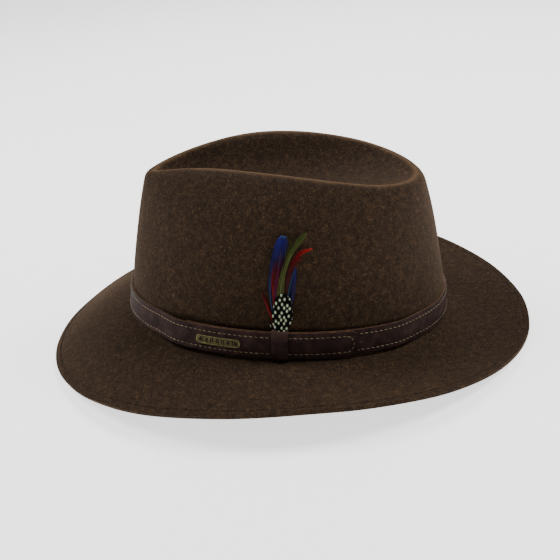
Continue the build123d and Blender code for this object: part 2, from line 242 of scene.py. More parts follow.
def colour_steps(ramp, *stops):
    """The colours of a ramp: (place, sRGB code) for each stop."""
    elements = ramp.color_ramp.elements
    while len(elements) < len(stops):
        elements.new(1)
    for element, (place, code) in zip(elements, stops):
        element.position = place
        element.color = linear(code)


# Heathered felt: dyed fibres of several browns, carded together, so the colour breaks up into
# short fibres on close view, with a soft nap that catches light at the rims.
felt, felt_shader = start_material("heathered wool felt")
where = add_node(felt, "ShaderNodeTexCoord", {}).outputs["Object"]
fibre_size, hair_size, cloud_size, nap_size = 0.0009, 0.0019, 0.0035, 0.0004
warp = add_node(felt, "ShaderNodeTexNoise", {"Vector": where, "Scale": 1 / 0.004, "Detail": 2.0})
bent = add_node(felt, "ShaderNodeMix", {"Factor": 0.004, "A": where, "B": warp.outputs["Color"]},
                data_type="VECTOR")
fibres = add_node(felt, "ShaderNodeTexNoise",
                  {"Vector": bent.outputs["Result"], "Scale": 1 / fibre_size, "Detail": 4.0,
                   "Roughness": 0.7, "Distortion": 1.2})
clouds = add_node(felt, "ShaderNodeTexNoise", {"Vector": where, "Scale": 1 / cloud_size, "Detail": 5.0,
                                               "Roughness": 0.62})
fibre_colour = add_node(felt, "ShaderNodeValToRGB", {"Fac": fibres.outputs["Fac"]})
colour_steps(fibre_colour, (0.31, "#110c08"), (0.46, "#231911"), (0.56, "#35261a"), (0.69, "#644a32"))
cloud_colour = add_node(felt, "ShaderNodeValToRGB", {"Fac": clouds.outputs["Fac"]})
colour_steps(cloud_colour, (0.34, "#17100b"), (0.52, "#281c13"), (0.68, "#443121"))
felt_colour = add_node(felt, "ShaderNodeMix",
                       {"Factor": 0.5, "A": fibre_colour.outputs["Color"],
                        "B": cloud_colour.outputs["Color"]}, data_type="RGBA")
nap = add_node(felt, "ShaderNodeTexNoise", {"Vector": where, "Scale": 1 / nap_size, "Detail": 3.0,
                                            "Roughness": 0.7})
height = add_node(felt, "ShaderNodeMath", {0: nap.outputs["Fac"], 1: fibres.outputs["Fac"]},
                  operation="ADD")
bump = add_node(felt, "ShaderNodeBump", {"Height": height.outputs["Value"], "Strength": 0.5,
                                         "Distance": 0.0003})
# A few longer, paler hairs lie in the felt.
hairs = add_node(felt, "ShaderNodeTexNoise",
                 {"Vector": bent.outputs["Result"], "Scale": 1 / hair_size, "Detail": 2.0,
                  "Distortion": 2.5})
hair_share = add_node(felt, "ShaderNodeMapRange", {"Value": hairs.outputs["Fac"], "From Min": 0.56,
                                                   "From Max": 0.74, "To Max": 0.34})
felt_flecked = add_node(felt, "ShaderNodeMix",
                        {"Factor": hair_share.outputs["Result"], "A": felt_colour.outputs["Result"],
                         "B": linear("#7c6040")}, data_type="RGBA")
# Painted highlight: the felt is mixed towards a pale brown along the ridge, by the ridge attribute.
ridge_highlight = add_node(felt, "ShaderNodeVertexColor", {}, layer_name="ridge_highlight")
ridge_highlight_share = add_node(felt, "ShaderNodeMath", {0: ridge_highlight.outputs["Color"], 1: 0.34}, operation="MULTIPLY")
felt_highlit = add_node(felt, "ShaderNodeMix",
                       {"Factor": ridge_highlight_share.outputs["Value"], "A": felt_flecked.outputs["Result"],
                        "B": linear("#866648")}, data_type="RGBA")
felt.node_tree.links.new(felt_highlit.outputs["Result"], felt_shader.inputs["Base Color"])
felt.node_tree.links.new(bump.outputs["Normal"], felt_shader.inputs["Normal"])
felt_shader.inputs["Roughness"].default_value = 0.95
felt_shader.inputs["Specular IOR Level"].default_value = 0.15
felt_shader.inputs["Sheen Weight"].default_value = 0.22
felt_shader.inputs["Sheen Roughness"].default_value = 0.3
felt_shader.inputs["Sheen Tint"].default_value = linear("#d0a06c")

felt_columns = 240
profiles = [felt_profile(360 * k / felt_columns) for k in range(felt_columns)]


def felt_point(share, row):
    point = profiles[round(share * felt_columns) % felt_columns][row].copy()
    across = handled(point, drift_size, drift_depth)
    along = handled(point + Vector((50, 0, 0)), drift_size, drift_depth)
    up = handled(point + Vector((0, 90, 0)), swell_size, swell_depth)
    return point + Vector((across, along, up))


felt_body = block_grid("felt_body_shaped", felt_columns, len(profiles[0]) - 1, felt_point)
face_outwards(felt_body, stand(dent_centre), Vector((0, 0, 1)))
# A painted highlight: the felt's colour is lightened along the folded ridge, where light catches the nap.
ridge_highlight_reach = 0.0028
ridge_tree = kdtree.KDTree(felt_columns)
for k, points in enumerate(profiles):
    ridge_tree.insert(stand(max(points, key=lambda point: point.z)), k)
ridge_tree.balance()
ridge_highlight_layer = felt_body.data.color_attributes.new("ridge_highlight", "FLOAT_COLOR", "POINT")
for vertex in felt_body.data.vertices:
    share = max(0, 1 - ridge_tree.find(vertex.co)[2] / ridge_highlight_reach)
    ridge_highlight_layer.data[vertex.index].color = (share, share, share, 1)
thicken(felt_body, felt_thickness)
round_edges(felt_body, 0.6, 60)
finish_piece(felt_body, felt, "hat", "felt", "felt_body", angle=50)

# ---- brim edge stitch ------------------------------------------------------------------------
# A single row of brown thread, sunk in the felt a few millimetres inside the cut edge. It keeps
# the brim's edge from stretching.
edge_stitch_pitch, edge_stitch_length, edge_stitch_radius = 3.2, 2.2, 0.32
edge_stitch_lift = 0.02          # above the bottom of the groove that the thread pulls in the felt


def stitch_mesh(length, radius):
    """One stitch: a short soft bead of thread along X."""
    bpy.ops.mesh.primitive_uv_sphere_add(segments=6, ring_count=5, radius=1)
    bead = bpy.context.object
    bead.rotation_euler = (0, pi / 2, 0)
    bead.scale = (radius, radius, length / 2)
    bpy.ops.object.transform_apply(location=True, rotation=True, scale=True)
    mesh = bead.data
    bpy.data.objects.remove(bead)
    return mesh


def stitch_row(name, mesh, places):
    """One object from a copy of a stitch at each place: (middle, along, outward), level frame."""
    row = bmesh.new()
    for middle, along, outward in places:
        side = outward.cross(along).normalized()
        turn = Matrix((along.normalized(), side, along.cross(side).normalized())).transposed()
        first = len(row.verts)
        row.from_mesh(mesh)
        row.verts.ensure_lookup_table()
        for vertex in row.verts[first:]:
            vertex.co = stand(turn @ vertex.co + middle)
    data = bpy.data.meshes.new(name)
    row.to_mesh(data)
    row.free()
    piece = bpy.data.objects.new(name, data)
    bpy.context.collection.objects.link(piece)
    return piece


def even_turns(point_at, pitch, start, stop):
    """Angles that step a curve by about the pitch."""
    turns, angle = [], start
    while angle < stop:
        turns.append(angle)
        angle += pitch / ((point_at(angle + 0.5) - point_at(angle - 0.5)).length)
    return turns


def edge_row(angle):
    """The line of the stitches, in the bottom of their groove."""
    return brim(angle, stitch_share) + Vector((0, 0, edge_stitch_lift - stitch_groove))


def slanted_places(point_at, turns, outward_at, slant):
    """Places for stitch_row along a line, each stitch turned a little out of the line."""
    places = []
    for angle in turns:
        along = (point_at(angle + 0.5) - point_at(angle - 0.5)).normalized()
        outward = outward_at(angle)
        along = along + outward.cross(along) * slant
        places.append((point_at(angle), along, outward))
    return places


def mottled(name, size, *stops, roughness=0.6, detail=4.0):
    """A material whose colour drifts through the stops, in patches of the given size."""
    material, surface = start_material(name)
    place = add_node(material, "ShaderNodeTexCoord", {}).outputs["Object"]
    drift = add_node(material, "ShaderNodeTexNoise",
                     {"Vector": place, "Scale": 1 / size, "Detail": detail})
    colour = add_node(material, "ShaderNodeValToRGB", {"Fac": drift.outputs["Fac"]})
    colour_steps(colour, *stops)
    material.node_tree.links.new(colour.outputs["Color"], surface.inputs["Base Color"])
    surface.inputs["Roughness"].default_value = roughness
    surface.inputs["Specular IOR Level"].default_value = 0.25
    return material


# Matt cotton, a shade darker than the felt, so the row is only just seen.
edge_thread = mottled("brown sewing cotton", 0.0006, (0.35, "#1c140d"), (0.65, "#33261a"),
                      roughness=0.8)

edge_bead = stitch_mesh(edge_stitch_length, edge_stitch_radius)
brim_stitches = stitch_row(
    "brim_edge_stitches", edge_bead,
    slanted_places(edge_row, even_turns(edge_row, edge_stitch_pitch, 0, 359.5),
                   lambda a: Vector((0, 0, 1)), 0.08))
finish_piece(brim_stitches, edge_thread, "hat", "edge_thread", "brim_edge_thread")

# ---- hat band -------------------------------------------------------------------------------
# One strap of dark plum-brown calf leather with painted edges. It goes once round the crown,
# laps over its own buried end on the wearer's left and ends in a rounded tip.
strap, air, loop_back, quills, strap_rest = 1.25, 0.25, 0.5, 1.0, 0.15
strap_raised = 3 * air + quills + loop_back
band_low, band_high, row_gap = -2.2, 13.0, 10.0
overlap_start, overlap_end, ramp, tip_turn = 63.4, 124.0, 14.0, 3.6
tip_share = 0.05                 # of the strap's columns, kept for its rounded tip
row_groove, row_groove_width = 0.22, 0.9


def at_band(angle, offset, up):
    """A point off the crown: outwards from the felt, and up from the lower stitch row."""
    foot_height = waves(angle, band_line) - break_drop
    point = wall(angle, (up + break_drop) / (crest(angle).z - foot_height))
    return point + oval(angle, offset, 0) - oval(angle, 0, 0)


def ease(share):
    """A soft step from 0 to 1."""
    share = min(max(share, 0), 1)
    return share * share * (3 - 2 * share)


def strap_face(angle):
    """Offset of the strap's outer face; the angle runs on past 360 to the buried end."""
    outer_layer = strap_raised + 2 * strap + 0.05
    if angle < 180:
        return outer_layer + (strap_rest + strap - outer_layer) * ease((angle - overlap_end) / ramp)
    rise = ease((angle - (360 + overlap_start - 2 * ramp)) / ramp)
    return strap_rest + strap + (strap_raised - strap_rest) * rise


def groove(up):
    """The strap is pulled in a little along its two stitch rows."""
    near = min(abs(up), abs(up - row_gap))
    return row_groove * max(0, 1 - near / row_groove_width) ** 0.8


# Drum-dyed calf: matt plum brown that has worn unevenly, with a fine pebble of 0.7 mm grain.
calf, calf_shader = start_material("dyed calf leather")
grain_size, wear_size = 0.0007, 0.006
calf_where = add_node(calf, "ShaderNodeTexCoord", {}).outputs["Object"]
grain = add_node(calf, "ShaderNodeTexVoronoi",
                 {"Vector": calf_where, "Scale": 1 / grain_size, "Randomness": 1.0})
wear = add_node(calf, "ShaderNodeTexNoise",
                {"Vector": calf_where, "Scale": 1 / wear_size, "Detail": 6.0})
calf_colour = add_node(calf, "ShaderNodeValToRGB", {"Fac": wear.outputs["Fac"]})
colour_steps(calf_colour, (0.3, "#271b1a"), (0.55, "#352624"), (0.75, "#44322e"))
calf_rough = add_node(calf, "ShaderNodeMapRange",
                      {"Value": wear.outputs["Fac"], "To Min": 0.55, "To Max": 0.75})
calf_shader.inputs["Specular IOR Level"].default_value = 0.06
calf_bump = add_node(calf, "ShaderNodeBump", {"Height": grain.outputs["Distance"], "Strength": 0.35,
                                              "Distance": 0.00012})
calf.node_tree.links.new(calf_colour.outputs["Color"], calf_shader.inputs["Base Color"])
calf.node_tree.links.new(calf_rough.outputs["Result"], calf_shader.inputs["Roughness"])
calf.node_tree.links.new(calf_bump.outputs["Normal"], calf_shader.inputs["Normal"])

# The cut edges are lighter, where the paint has worn.
painted_edge = mottled("burnished leather edge", 0.002, (0.35, "#422e22"), (0.65, "#664a36"))

strap_columns, strap_rows = 420, 30
strap_middle, strap_half = (band_low + band_high) / 2, (band_high - band_low) / 2
strap_last = 360 + overlap_end - 2


def strap_point(share, row):
    """The strap's face from its tip (0) once round to the end buried under the lap (1)."""
    if share < tip_share:
        angle = overlap_start + tip_turn * (share / tip_share) ** 2
    else:
        straight = strap_last - overlap_start - tip_turn
        angle = overlap_start + tip_turn + straight * (share - tip_share) / (1 - tip_share)
    reach = min((angle - overlap_start) / tip_turn, 1)
    half = strap_half * max(sqrt(1 - (1 - reach) ** 2), 0.02)
    up = strap_middle + half * (2 * row / strap_rows - 1)
    return at_band(angle, strap_face(angle) - groove(up), up)


def off_band(angle, offset):
    """A point off the middle of the band, and the way straight out from there."""
    start, end = stand(at_band(angle, offset, 5)), stand(at_band(angle, offset + 1, 5))
    return start, end - start


hat_band = block_grid("hat_band_strap", strap_columns, strap_rows, strap_point)
face_outwards(hat_band, *off_band(200, 5))
thicken(hat_band, strap)
round_edges(hat_band, 0.25, 55)
finish_piece(hat_band, calf, "hat", "band_leather", "hat_band")
hat_band.data.materials.append(painted_edge)
for face in hat_band.data.polygons:
    radial = Vector((face.center.x, face.center.y, 0)).normalized()
    if abs(face.normal.dot(radial)) < 0.5:
        face.material_index = 1

# ---- band stitching ---------------------------------------------------------------------------
# Two rows of waxed khaki thread along the strap and a half round about its tip. Each stitch
# leans a little, as a lockstitch in leather does, and sinks at its ends.
stitch_pitch, stitch_length, stitch_radius = 3.25, 2.3, 0.27
row_lift, tip_lift, stitch_slant = 0.17, 0.12, -0.14
mm_to_turn = 1 / radians(half_length)
row_start, row_stop = overlap_start + tip_turn + 1.0, 360 + overlap_start + 0.7

# Pale waxed thread, soiled darker in places, that stands out along the dark strap.
khaki = mottled("waxed khaki thread", 0.003, (0.3, "#544832"), (0.5, "#85775a"), (0.8, "#a39571"))


def out_at(angle):
    """The way straight out from the head oval."""
    return (oval(angle, 1, 0) - oval(angle, 0, 0)).normalized()


bead = stitch_mesh(stitch_length, stitch_radius)
for name, node, up in (("band_stitches_lower", "band_thread_lower", 0),
                       ("band_stitches_upper", "band_thread_upper", row_gap)):
    def row_at(angle, up=up):
        return at_band(angle, strap_face(angle) - row_groove + row_lift, up)

    turns = even_turns(row_at, stitch_pitch, row_start + 0.7, row_stop)
    row = stitch_row(name, bead, slanted_places(row_at, turns, out_at, stitch_slant))
    finish_piece(row, khaki, "hat", "band_thread", node)

# The half round at the tip, squeezed a little along the strap.
tip_places = []
tip_count, tip_squeeze = 5, 0.9
for k in range(tip_count):
    swing = -pi / 2 + pi * (k + 0.5) / tip_count
    ends = []
    for end in (-0.32, 0.32):
        q = swing + end * pi / tip_count
        angle = row_start - mm_to_turn * tip_squeeze * row_gap / 2 * cos(q)
        ends.append(at_band(angle, strap_face(overlap_start) + tip_lift, row_gap / 2 * (1 + sin(q))))
    tip_places.append(((ends[0] + ends[1]) / 2, ends[1] - ends[0], out_at(overlap_start)))
tip_stitches = stitch_row("strap_tip_stitches", bead, tip_places)
finish_piece(tip_stitches, khaki, "hat", "band_thread", "strap_tip_thread")

# ---- keeper loop ----------------------------------------------------------------------------
# A ring of the same leather folded round both layers of the strap. It slides along the lap, and
# its top edge has a painted highlight, lighter where the feathers are pushed in behind it and bulge it.
keeper_angle, keeper_width, keeper_corner = 89.3, 9.6, 1.7
keeper_foot, keeper_head = at_band(keeper_angle, 0, 0), at_band(keeper_angle, 0, band_high)
keeper_up = (keeper_head - keeper_foot).normalized()
keeper_out = Vector((0, 1, 0)).cross(keeper_up)
keeper_back = quills + 2 * air
keeper_front = strap_raised + 2 * strap + 0.6 + air + 1.15
keeper_low, keeper_high = band_low - air - 1.6, band_high + air + 1.1
keeper_skin, keeper_front_skin, keeper_end_skin = 0.35, 0.8, 0.85
keeper_swell, keeper_roll = 0.25, 0.22     # the front is domed and its two edges roll in


def keeper_place(out, along, up):
    """A point off the band at the keeper: outwards, along towards the back, and up."""
    return keeper_foot + keeper_out * out + Vector((0, along, 0)) + keeper_up * up


def rounded_box(share, low, high, corner_radius):
    """A point round a box with rounded corners, by share of its outline."""
    spans = [high[0] - low[0] - 2 * corner_radius, high[1] - low[1] - 2 * corner_radius]
    quarter = corner_radius * pi / 2
    lengths = [spans[0], quarter, spans[1], quarter, spans[0], quarter, spans[1], quarter]
    centres = [(high[0], low[1], -90), (high[0], high[1], 0),
               (low[0], high[1], 90), (low[0], low[1], 180)]
    travel = (share % 1) * sum(lengths)
    for k, length in enumerate(lengths):
        if travel <= length or k == 7:
            break
        travel -= length
    x, y, start = centres[(k // 2) % 4]
    x += corner_radius if x == low[0] else -corner_radius
    y += corner_radius if y == low[1] else -corner_radius
    if k % 2:
        turn = radians(start + 90 * travel / quarter)
        return x + corner_radius * cos(turn), y + corner_radius * sin(turn)
    turn = radians(start)
    back = lengths[k] - travel
    return (x + corner_radius * cos(turn) + back * sin(turn),
            y + corner_radius * sin(turn) - back * cos(turn))


keeper_rows, keeper_columns = 10, 96


def keeper_point(share, row):
    """The loop's skin: rows run over its outer face, then back over its inner face, and close."""
    across = row if row <= keeper_rows else 2 * keeper_rows + 1 - row
    inside = row > keeper_rows and row <= 2 * keeper_rows + 1
    if row == 2 * keeper_rows + 2:
        across, inside = 0, False
    along = keeper_width * (across / keeper_rows - 0.5)
    low, high = (keeper_back, keeper_low), (keeper_front, keeper_high)
    out, up = rounded_box(share, low, high, keeper_corner)
    front = ease((out - keeper_front + 1.5) / 1.5)
    middle = (keeper_low + keeper_high) / 2
    if inside:
        centre_out, centre_up = (keeper_back + keeper_front) / 2, middle
        reach_out, reach_up = (keeper_front - keeper_back) / 2, (keeper_high - keeper_low) / 2
        thick = keeper_skin + keeper_front_skin * front
        out += thick * (centre_out - out) / reach_out
        up += keeper_end_skin * (centre_up - up) / reach_up
    swell = keeper_swell * front * cos(pi * (up - middle) / (keeper_high - keeper_low))
    roll = 0 if inside else -keeper_roll * front * (2 * along / keeper_width) ** 6
    return keeper_place(out + swell + roll, along, up)


# The strap's own calf, with a painted highlight that lightens the top 7 mm of the loop.
keeper_highlight_reach = 0.007
keeper_leather = calf.copy()
keeper_leather.name = "calf leather with painted top highlight"
keeper_shader = keeper_leather.node_tree.nodes["Principled BSDF"]
keeper_where = add_node(keeper_leather, "ShaderNodeTexCoord", {}).outputs["Object"]
keeper_parts = add_node(keeper_leather, "ShaderNodeSeparateXYZ", {"Vector": keeper_where})
keeper_top_z = stand(keeper_place(keeper_front, 0, keeper_high)).z
# Painted highlight: the colour grows lighter over the loop's top, by height.
keeper_highlight = add_node(keeper_leather, "ShaderNodeMapRange",
                      {"Value": keeper_parts.outputs["Z"], "From Min": keeper_top_z - keeper_highlight_reach,
                       "From Max": keeper_top_z, "To Min": 0.0, "To Max": 0.75})
keeper_highlit_tone = add_node(keeper_leather, "ShaderNodeMix",
                       {"Factor": keeper_highlight.outputs["Result"],
                        "A": keeper_shader.inputs["Base Color"].links[0].from_socket,
                        "B": linear("#4c3932")}, data_type="RGBA")
keeper_leather.node_tree.links.new(keeper_highlit_tone.outputs["Result"], keeper_shader.inputs["Base Color"])

keeper = block_grid("keeper_strap_loop", keeper_columns, 2 * keeper_rows + 2, keeper_point)
face_outwards(keeper, stand(keeper_place(keeper_front, 0, 5)), standing.to_3x3() @ keeper_out)
round_edges(keeper, 0.2, 50)
finish_piece(keeper, keeper_leather, "keeper", "keeper_leather", "keeper_loop", angle=45)

# ---- name plate and rivets --------------------------------------------------------------------
# A thin stamped brass plate with rounded ends, blackened and then rubbed back, so its rim and
# field are bright and the cut ornament stays dark. It is pinned to the strap at both ends.
plate_turns, plate_up, plate_height, brass = (101.9, 117.2), 5.0, 5.1, 0.7
plate_length = (at_band(plate_turns[0], 0, 5) - at_band(plate_turns[1], 0, 5)).length
plate_stock, plate_corner, plate_rim, rim_slope, field_depth = 0.45, 2.0, 0.55, 0.2, 0.16
plate_columns, plate_rows = 256, 46
ornament_pitch, ornament_count, ornament_depth, cut_slope = 3.3, 7, 0.22, 0.16


def ornament(along, up):
    """Depth share of the cut pattern: lozenges and pairs of bars in turn."""
    cell = round(along / ornament_pitch)
    if abs(cell) > ornament_count // 2:
        return 0
    near = along - cell * ornament_pitch
    if cell % 2:
        shape = min(0.32 - abs(abs(near) - 0.62), 1.55 - abs(up))
    else:
        lozenge = 1 - abs(near) / 1.15 - abs(up) / 1.6
        shape = min(lozenge, 0.62 - lozenge) * 0.9
    return ease(shape / cut_slope)


def plate_outline(share):
    """Distance from the middle of the plate, and half its height there."""
    along = (share - 0.5) * plate_length
    end_gap = plate_length / 2 - abs(along)
    half = plate_height / 2
    if end_gap < plate_corner:
        half += sqrt(max(plate_corner**2 - (plate_corner - end_gap) ** 2, 0)) - plate_corner
    return along, half


def plate_spot(share, row):
    """Where a point of the plate lies, and how far it is inside the raised rim (0 to 1)."""
    along, half = plate_outline(share)
    up = half * (2 * row / plate_rows - 1)
    edge = min(half - abs(up), plate_length / 2 - abs(along))
    return along, up, ease((edge - plate_rim) / rim_slope)


def plate_point(share, row):
    along, up, field = plate_spot(share, row)
    face = brass - field_depth * field - ornament_depth * ornament(along, up)
    turn = plate_turns[0] + (plate_turns[1] - plate_turns[0]) * share
    return at_band(turn, strap_face(turn) + face, plate_up + up)


# Stamped brass, blackened in a bath and rubbed back: dull yellow on the rim, nearly black in the
# cuts, half dark over the sunk field.
antique, antique_shader = start_material("antiqued stamped brass")
field_dark = 0.5
patina = add_node(antique, "ShaderNodeVertexColor", {}, layer_name="patina")
antique_where = add_node(antique, "ShaderNodeTexCoord", {}).outputs["Object"]
tarnish = add_node(antique, "ShaderNodeTexNoise",
                   {"Vector": antique_where, "Scale": 1 / 0.0012, "Detail": 5.0})
bright = add_node(antique, "ShaderNodeValToRGB", {"Fac": tarnish.outputs["Fac"]})
colour_steps(bright, (0.35, "#423b26"), (0.6, "#6f6543"))
plate_tone = add_node(antique, "ShaderNodeMix",
                      {"Factor": patina.outputs["Color"], "A": bright.outputs["Color"],
                       "B": linear("#14100b")}, data_type="RGBA")
antique.node_tree.links.new(plate_tone.outputs["Result"], antique_shader.inputs["Base Color"])
antique_shader.inputs["Metallic"].default_value = 0.9
antique_shader.inputs["Roughness"].default_value = 0.42

plate = block_grid("plate_stamped", plate_columns, plate_rows, plate_point)
marks = plate.data.color_attributes.new("patina", "FLOAT_COLOR", "POINT")
for vertex in plate.data.vertices:
    row, column = divmod(vertex.index, plate_columns + 1)
    along, up, field = plate_spot(column / plate_columns, row)
    dark = max(ornament(along, up), field_dark * field)
    marks.data[vertex.index].color = (dark, dark, dark, 1)
face_outwards(plate, *off_band((plate_turns[0] + plate_turns[1]) / 2, 6))
thicken(plate, plate_stock)
finish_piece(plate, antique, "hat", "plate_brass", "name_plate", angle=50)

rivet_inset, rivet_radius, rivet_sink = 1.5, 0.8, 0.08
# The pins kept their blackening: a dark dull metal.
dark_brass = mottled("blackened brass pin", 0.0005, (0.4, "#110e0b"), (0.7, "#2c2619"),
                     roughness=0.5)
dark_brass.node_tree.nodes["Principled BSDF"].inputs["Metallic"].default_value = 0.8

# A pin's head is a low dome with a small dimple in its middle.
dome_height, underside_height, dimple_depth, dimple_radius = 0.45, 0.2, 0.3, 0.35
bpy.ops.mesh.primitive_uv_sphere_add(segments=20, ring_count=12, radius=rivet_radius)
pin_mesh = bpy.context.object.data
bpy.data.objects.remove(bpy.context.object)
for vertex in pin_mesh.vertices:
    vertex.co.z *= dome_height if vertex.co.z > 0 else underside_height
    vertex.co.z -= dimple_depth * max(0, 1 - vertex.co.xy.length / dimple_radius)
pin_places = []
for turn in (plate_turns[0] + rivet_inset, plate_turns[1] - rivet_inset):
    foot = at_band(turn, strap_face(turn) + brass - rivet_sink, plate_up)
    pin_places.append((foot, Vector((0, 0, 1)), out_at(turn)))
rivets = stitch_row("plate_pins", pin_mesh, pin_places)
finish_piece(rivets, dark_brass, "hat", "rivet_brass", "plate_rivets")

# ---- feather mount ------------------------------------------------------------------------------
# A bunch of dyed feathers behind one spotted guinea fowl feather, bound at the quills and tucked
# behind the strap. Each feather is a quill with separate barbs, which split a little as they do
# on a handled feather. Stations are (across, height, width) from the middle of the keeper.
mount_y = keeper_foot.y
near_radius = half_length**2 / half_width
random.seed(11)


def beside_wall(y, z, gap):
    """A point beside the crown's near wall, by its place along and up the wall."""
    foot = waves(keeper_angle, band_line) - break_drop
    t = (z - foot) / (crest(90).z - foot)
    x = half_width - (half_width - crest(90).x) * side_pull(t)
    return Vector((x - y**2 / (2 * near_radius) + gap, y, z))


def station(route, share):
    """A smooth point along the stations: (across, height, width)."""
    place = share * (len(route) - 1)
    k = min(int(place), len(route) - 2)
    q = place - k
    a, b, c, d = (Vector(route[min(max(k + j, 0), len(route) - 1)]) for j in (-1, 0, 1, 2))
    return 0.5 * (2 * b + (c - a) * q + (2 * a - 5 * b + 4 * c - d) * q**2 + (3 * b - a - 3 * c + d) * q**3)


def heading(route, share):
    """Which way the route runs there."""
    step = station(route, min(share + 0.02, 1)) - station(route, max(share - 0.02, 0))
    return Vector((step.x, step.y)).normalized()


def add_strand(feather, path, gaps, widths, thick, tones):
    """One barb or quill: a three-sided strand through flat points (across, height)."""
    rings = []
    for k, point in enumerate(path):
        along = (path[min(k + 1, len(path) - 1)] - path[max(k - 1, 0)]).normalized()
        side = Vector((-along.y, along.x)) * widths[k] / 2
        ring = []
        for shift_by, rise in ((side, 0), (side * -1, 0), (Vector((0, 0)), thick)):
            flat = point + shift_by
            vertex = feather.verts.new(stand(beside_wall(mount_y + flat.x, flat.y, gaps[k] + rise)))
            vertex[feather.verts.layers.float_color["tone"]] = (*tones[k], 0, 1)
            ring.append((vertex, flat))
        rings.append(ring)
    uv = feather.loops.layers.uv["flat"]

    def add_face(corners):
        face = feather.faces.new([vertex for vertex, flat in corners])
        for loop, (vertex, flat) in zip(face.loops, corners):
            loop[uv].uv = flat * 0.1

    for low, high in zip(rings, rings[1:]):
        for k in range(3):
            add_face((low[k], low[(k + 1) % 3], high[(k + 1) % 3], high[k]))
    add_face(rings[0][::-1])
    add_face(rings[-1])


def start_feather():
    feather = bmesh.new()
    feather.verts.layers.float_color.new("tone")
    feather.loops.layers.uv.new("flat")
    return feather


barb_shares, barb_falls = (0, 0.3, 0.55, 0.8, 1), (0, 0.3, 0.6, 0.85, 1)
barb_widths, barb_thick = (0.4, 0.5, 0.5, 0.36, 0.08), 0.1


def add_vane(feather, route, gap, count, lean, looseness, crown=0.5, bare=0.0, tint=(0.0, 0.85)):
    """Barbs on both sides of a quill. Their tips end on the outline of the feather."""
    for side in (-1, 1):
        for k in range(count):
            start = bare + (0.99 - bare) * (k + random.random()) / count
            stop = min(start + lean * random.uniform(0.8, 1.15), 1)
            foot, half, end = [station(route, q) for q in (start, (start + stop) / 2, stop)]
            half_way, end_way = heading(route, (start + stop) / 2), heading(route, stop)
            half_across = Vector((half_way.y, -half_way.x)) * side
            end_across = Vector((end_way.y, -end_way.x)) * side
            reach = random.uniform(1 - looseness, 1 + looseness / 3)
            reach *= random.random() if stop == 1 else 1
            middle = (half.xy + half_across * half.z * 0.34 * reach) * 2 - (foot.xy + end.xy) / 2
            tip = end.xy + end_across * end.z / 2 * reach
            middle -= end_across * end.z / 4 * reach
            path = [foot.xy * (1 - q) ** 2 + middle * (2 * q * (1 - q)) + tip * q**2
                    for q in barb_shares]
            gaps = [gap + crown * (1 - q * q) + random.uniform(0, 0.12) for q in barb_falls]
            depth = random.random()
            tones = [(depth, tint[0] + (tint[1] - tint[0]) * (start + (stop - start) * q))
                     for q in barb_shares]
            add_strand(feather, path, gaps, barb_widths, barb_thick, tones)


def add_quill(feather, route, gap, width, crown=0.6, tone=0.3):
    """The quill itself, which thins out towards the tip."""
    shares = [k / 16 for k in range(17)]
    path = [station(route, q).xy for q in shares]
    widths = [width * (1.05 - q) for q in shares]
    gaps, tones = [gap + crown + 0.1] * len(path), [(0.5, tone)] * len(path)
    add_strand(feather, path, gaps, widths, width * 0.6, tones)


hackle_points, hackle_thick = 12, 0.12


def add_hackle(feather, route, gap, count, spread, tint, stop_at=0.72, width=0.4):
    """A loose hackle: long fibres that run with the quill and part towards the tip."""
    for k in range(count):
        drift = random.uniform(-1, 1)
        stop = random.uniform(stop_at, 1.0)
        depth, lift = random.random(), random.uniform(-0.12, 0.12)
        path, widths, tones = [], [], []
        for j in range(hackle_points):
            share = stop * j / (hackle_points - 1)
            place, along = station(route, share), heading(route, share)
            fan = drift * (place.z / 2) * (0.4 + spread * share)
            path.append(place.xy + Vector((along.y, -along.x)) * fan)
            widths.append(width * (1 - 0.75 * (j / (hackle_points - 1)) ** 2))
            tones.append((depth, tint[0] + (tint[1] - tint[0]) * share**2 + lift))
        rise = gap + random.uniform(0, 0.5)
        add_strand(feather, path, [rise] * hackle_points, widths, hackle_thick, tones)


def finish_feather(feather, name, material, slot, node):
    bmesh.ops.recalc_face_normals(feather, faces=feather.faces)
    data = bpy.data.meshes.new(name)
    feather.to_mesh(data)
    feather.free()
    piece = bpy.data.objects.new(name, data)
    bpy.context.collection.objects.link(piece)
    finish_piece(piece, material, "feather_mount", slot, node, angle=60)


def dyed_feather(name, *dye_steps):
    """Dyed goose or hackle: each barb takes the dye a little differently, darker at its root."""
    material, surface = start_material(name)
    tone = add_node(material, "ShaderNodeVertexColor", {}, layer_name="tone")
    parts = add_node(material, "ShaderNodeSeparateColor", {"Color": tone.outputs["Color"]})
    dye = add_node(material, "ShaderNodeValToRGB", {"Fac": parts.outputs["Green"]})
    colour_steps(dye, *dye_steps)
    patchy = add_node(material, "ShaderNodeMapRange", {"Value": parts.outputs["Red"], "To Min": 0.45,
                                                      "To Max": 1.3})
    streaked = add_node(material, "ShaderNodeVectorMath",
                        {0: dye.outputs["Color"], "Scale": patchy.outputs["Result"]}, operation="SCALE")
    material.node_tree.links.new(streaked.outputs["Vector"], surface.inputs["Base Color"])
    surface.inputs["Roughness"].default_value = 0.6
    surface.inputs["Specular IOR Level"].default_value = 0.15
    return material


blue_dye = dyed_feather("blue dyed goose feather", (0.1, "#170d24"), (0.45, "#150f3c"),
                        (0.75, "#13105c"), (0.95, "#3c5264"))
red_dye = dyed_feather("red dyed hackle", (0.1, "#260b08"), (0.4, "#4a0f0f"),
                       (0.7, "#7c0e14"), (0.95, "#c80c16"))
olive_dye = dyed_feather("olive dyed hackle", (0.1, "#2a2a08"), (0.5, "#3a3c10"),
                         (0.8, "#333a10"), (0.95, "#4f5a3c"))

